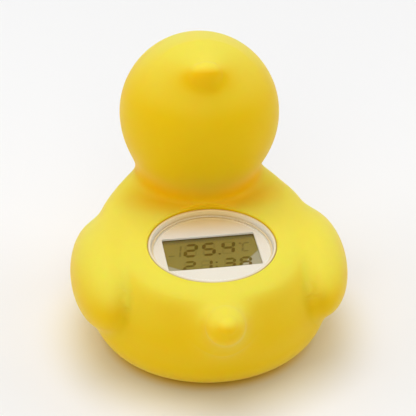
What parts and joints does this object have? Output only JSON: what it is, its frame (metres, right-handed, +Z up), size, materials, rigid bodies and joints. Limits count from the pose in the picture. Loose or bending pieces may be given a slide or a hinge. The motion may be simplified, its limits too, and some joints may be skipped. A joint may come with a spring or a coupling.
{
  "type": "baby bath thermometer",
  "caption": "Floating toy duck with a digital bath thermometer and clock sealed in its back, behind a round window that faces up.",
  "frame": {"origin": "middle of the footprint of the bounding box, on the plane that the duck's flat base stands on", "axes": "+Y the way the duck looks, +Z up, +X to the right when the display is read from behind the duck"},
  "size_m": [0.099, 0.124, 0.1057],
  "materials": {
    "soft_yellow_vinyl": "satin soft vinyl",
    "white_plastic": "moulded, light satin",
    "clear_lens": "clear, polished",
    "seal_rubber": "smooth",
    "display_glass": "display glass over a reflective backing",
    "strip_rubber": "smooth",
    "board_green": "solder mask",
    "epoxy_black": "potting compound",
    "capacitor_tan": "fired",
    "screw_steel": "rolled, bright",
    "brushed_steel": "drawn cap, brushed",
    "nickel": "nickel plated",
    "key_rubber": "matte",
    "lead_white": "wire insulation",
    "lead_red": "wire insulation",
    "lead_black": "wire insulation"
  },
  "bodies": {
    "thermometer": {"duck_skin": "soft_yellow_vinyl", "window_lens": "clear_lens", "lens_seal": "seal_rubber", "upper_housing": "white_plastic", "lower_housing": "white_plastic", "housing_seal": "seal_rubber", "housing_screw_1": "screw_steel", "housing_screw_2": "screw_steel", "housing_screw_3": "screw_steel", "housing_screw_4": "screw_steel", "lcd_glass": "display_glass", "connector_strip_front": "strip_rubber", "connector_strip_rear": "strip_rubber", "circuit_board": "board_green", "board_screw_1": "screw_steel", "board_screw_2": "screw_steel", "controller_chip": "epoxy_black", "timing_crystal": "screw_steel", "chip_capacitor_1": "capacitor_tan", "chip_capacitor_2": "capacitor_tan", "battery_cell": "nickel", "contact_positive": "nickel", "contact_negative": "nickel", "battery_door": "white_plastic", "door_seal": "seal_rubber", "door_screw_1": "screw_steel", "door_screw_2": "screw_steel", "door_screw_3": "screw_steel", "sensor_cap": "brushed_steel", "thermistor": "epoxy_black", "sensor_lead": "lead_white", "battery_lead_positive": "lead_red", "battery_lead_negative": "lead_black", "key_board": "board_green", "key_board_screw_1": "screw_steel", "key_board_screw_2": "screw_steel", "key_switch_left": "epoxy_black", "key_switch_right": "epoxy_black"},
    "left_key": {"key_left": "key_rubber"},
    "right_key": {"key_right": "key_rubber"}
  },
  "joints": [
    {"name": "left_key_press", "type": "slide", "parent": "thermometer", "child": "left_key", "axis": [0, 0, 1], "range_m": [0, 0.0004], "stiffness_N_per_m": 400},
    {"name": "right_key_press", "type": "slide", "parent": "thermometer", "child": "right_key", "axis": [0, 0, 1], "range_m": [0, 0.0004], "stiffness_N_per_m": 400}
  ]
}
